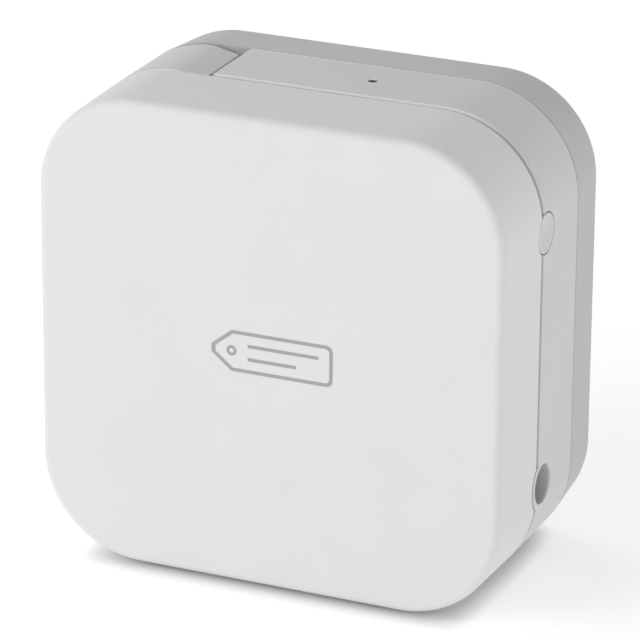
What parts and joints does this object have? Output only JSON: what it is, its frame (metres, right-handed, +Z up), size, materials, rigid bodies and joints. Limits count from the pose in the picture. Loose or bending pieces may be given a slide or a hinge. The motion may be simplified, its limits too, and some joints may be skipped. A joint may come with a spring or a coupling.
{
  "type": "label maker",
  "caption": "Compact upright desktop label maker: rounded square white case with a corner cutter lever, side power button, barrel power inlet and a removable back cover.",
  "frame": {"origin": "centre of the outline at the level of the rubber feet", "axes": "X to the right seen from the front, Y from the front face to the back cover, Z up; the front face looks along -Y"},
  "size_m": [0.115, 0.061, 0.115],
  "materials": {
    "white_plastic": "satin, fine moulded grain",
    "grey_plastic": "satin, fine moulded grain",
    "cassette_plastic": "satin",
    "dark_plastic": "glass-filled, matt",
    "gear_plastic": "moulded acetal",
    "black_plastic": "matt",
    "black_rubber": "matt rubber",
    "circuit_board": "solder mask",
    "clear_plastic": "smoked clear",
    "steel": "zinc plated",
    "aluminium": "extruded",
    "brass": "machined",
    "label_tape": "laminated tape",
    "cell_sleeve": "plain printed sleeve"
  },
  "bodies": {
    "case": {"front_case": "white_plastic", "mid_case": "white_plastic", "rubber_foot_1": "black_rubber", "rubber_foot_2": "black_rubber", "rubber_foot_3": "black_rubber", "rubber_foot_4": "black_rubber", "case_screw_1": "steel", "case_screw_2": "steel", "case_screw_3": "steel", "case_screw_4": "steel", "chassis": "dark_plastic", "gear_bracket": "steel", "main_board": "circuit_board", "side_board": "circuit_board", "dc_jack": "black_plastic", "power_switch": "black_plastic", "led_board": "circuit_board", "led_light_pipe": "clear_plastic", "head_bracket": "aluminium", "print_head": "black_plastic", "motor": "steel", "lever_pin": "steel", "lever_spring": "steel", "fixed_blade": "steel", "holder_pin": "steel", "holder_spring": "steel", "battery_tray": "dark_plastic", "contact_strip_left": "steel", "contact_strip_right": "steel"},
    "cover": {"back_cover": "grey_plastic"},
    "button": {"power_button": "white_plastic"},
    "lever": {"cutter_lever": "white_plastic"},
    "blade": {"blade_carrier": "dark_plastic", "moving_blade": "steel"},
    "holder": {"roller_holder": "dark_plastic"},
    "platen": {"platen_shaft": "steel", "platen_roller": "black_rubber"},
    "feed": {"feed_roller": "black_rubber"},
    "idler": {"idler_gear": "gear_plastic"},
    "reduction_a": {"reduction_gear_a": "gear_plastic"},
    "reduction_b": {"reduction_gear_b": "gear_plastic"},
    "pinion": {"motor_pinion": "brass"},
    "tape_drive": {"tape_drive_gear": "gear_plastic"},
    "take_up": {"take_up_gear": "gear_plastic"},
    "cassette": {"cassette_front_shell": "cassette_plastic", "cassette_back_shell": "cassette_plastic", "label_tape": "label_tape"},
    "cassette_roller": {"cassette_drive_roller": "black_rubber"},
    "tape_reel": {"tape_roll": "label_tape"},
    "ribbon_supply": {"ribbon_supply_spool": "black_plastic"},
    "ribbon_take_up": {"ribbon_take_up_spool": "black_plastic"},
    "cells": {"battery_cell_1": "cell_sleeve", "battery_cell_2": "cell_sleeve", "battery_cell_3": "cell_sleeve", "battery_cell_4": "cell_sleeve", "battery_cell_5": "cell_sleeve", "battery_cell_6": "cell_sleeve"}
  },
  "joints": [
    {"name": "cover_off", "type": "slide", "parent": "case", "child": "cover", "axis": [0, 1, 0], "range_m": [0, 0.12]},
    {"name": "cassette_out", "type": "slide", "parent": "case", "child": "cassette", "axis": [0, 1, 0], "range_m": [0, 0.072]},
    {"name": "cells_out", "type": "slide", "parent": "case", "child": "cells", "axis": [0, 1, 0], "range_m": [0, 0.042]},
    {"name": "lever_press", "type": "hinge", "parent": "case", "child": "lever", "pos_m": [-0.048, 0.003, 0.0767], "axis": [0, 1, 0], "range_deg": [0, 6], "stiffness_Nm_per_rad": 0.4, "springref_deg": -5.73},
    {"name": "blade_slide", "type": "slide", "parent": "case", "child": "blade", "axis": [1, 0, 0], "range_m": [0, 0.0034]},
    {"name": "button_press", "type": "slide", "parent": "case", "child": "button", "axis": [-1, 0, 0], "range_m": [0, 0.0008], "stiffness_N_per_m": 600, "springref_m": -0.0004},
    {"name": "holder_swing", "type": "hinge", "parent": "case", "child": "holder", "pos_m": [-0.0355, 0.004, 0.0615], "axis": [0, 1, 0], "range_deg": [-4.5, 0], "stiffness_Nm_per_rad": 0.3, "springref_deg": 5.73},
    {"name": "idler_spin", "type": "hinge", "parent": "case", "child": "idler", "pos_m": [-0.01236, 0.003, 0.08704], "axis": [0, 1, 0], "continuous": true},
    {"name": "platen_spin", "type": "hinge", "parent": "holder", "child": "platen", "pos_m": [-0.0293, 0.003, 0.085], "axis": [0, 1, 0], "continuous": true},
    {"name": "feed_roller_spin", "type": "hinge", "parent": "holder", "child": "feed", "pos_m": [-0.0281, 0.003, 0.1002], "axis": [0, 1, 0], "continuous": true},
    {"name": "reduction_a_spin", "type": "hinge", "parent": "case", "child": "reduction_a", "pos_m": [-0.01982, 0.003, 0.07764], "axis": [0, 1, 0], "continuous": true},
    {"name": "reduction_b_spin", "type": "hinge", "parent": "case", "child": "reduction_b", "pos_m": [-0.03139, 0.003, 0.06385], "axis": [0, 1, 0], "continuous": true},
    {"name": "pinion_spin", "type": "hinge", "parent": "case", "child": "pinion", "pos_m": [-0.04059, 0.003, 0.04792], "axis": [0, 1, 0], "continuous": true},
    {"name": "tape_drive_spin", "type": "hinge", "parent": "case", "child": "tape_drive", "pos_m": [-0.01996, 0.003, 0.1002], "axis": [0, 1, 0], "continuous": true},
    {"name": "take_up_spin", "type": "hinge", "parent": "case", "child": "take_up", "pos_m": [-0.00233, 0.003, 0.07509], "axis": [0, 1, 0], "continuous": true},
    {"name": "cassette_roller_spin", "type": "hinge", "parent": "cassette", "child": "cassette_roller", "pos_m": [-0.01996, 0.003, 0.1002], "axis": [0, 1, 0], "continuous": true},
    {"name": "tape_reel_spin", "type": "hinge", "parent": "cassette", "child": "tape_reel", "pos_m": [0.022, 0.003, 0.074], "axis": [0, 1, 0], "continuous": true},
    {"name": "ribbon_supply_spin", "type": "hinge", "parent": "cassette", "child": "ribbon_supply", "pos_m": [-0.00233, 0.003, 0.096], "axis": [0, 1, 0], "continuous": true},
    {"name": "ribbon_take_up_spin", "type": "hinge", "parent": "cassette", "child": "ribbon_take_up", "pos_m": [-0.00233, 0.003, 0.07509], "axis": [0, 1, 0], "continuous": true}
  ],
  "couplings": [
    {"joint": "cassette_out", "follows": "cover_off", "ratio": 0.6},
    {"joint": "cells_out", "follows": "cover_off", "ratio": 0.35},
    {"joint": "blade_slide", "follows": "lever_press", "m_per_rad": 0.032},
    {"joint": "platen_spin", "follows": "idler_spin", "ratio": 1},
    {"joint": "feed_roller_spin", "follows": "idler_spin", "ratio": 1.3333},
    {"joint": "reduction_a_spin", "follows": "idler_spin", "ratio": -1.5},
    {"joint": "reduction_b_spin", "follows": "idler_spin", "ratio": 4.6364},
    {"joint": "pinion_spin", "follows": "idler_spin", "ratio": -16.691},
    {"joint": "tape_drive_spin", "follows": "idler_spin", "ratio": -0.9},
    {"joint": "take_up_spin", "follows": "idler_spin", "ratio": -0.85714},
    {"joint": "cassette_roller_spin", "follows": "idler_spin", "ratio": -0.9},
    {"joint": "tape_reel_spin", "follows": "idler_spin", "ratio": 0.21053},
    {"joint": "ribbon_supply_spin", "follows": "idler_spin", "ratio": -0.57143},
    {"joint": "ribbon_take_up_spin", "follows": "idler_spin", "ratio": -0.85714}
  ]
}
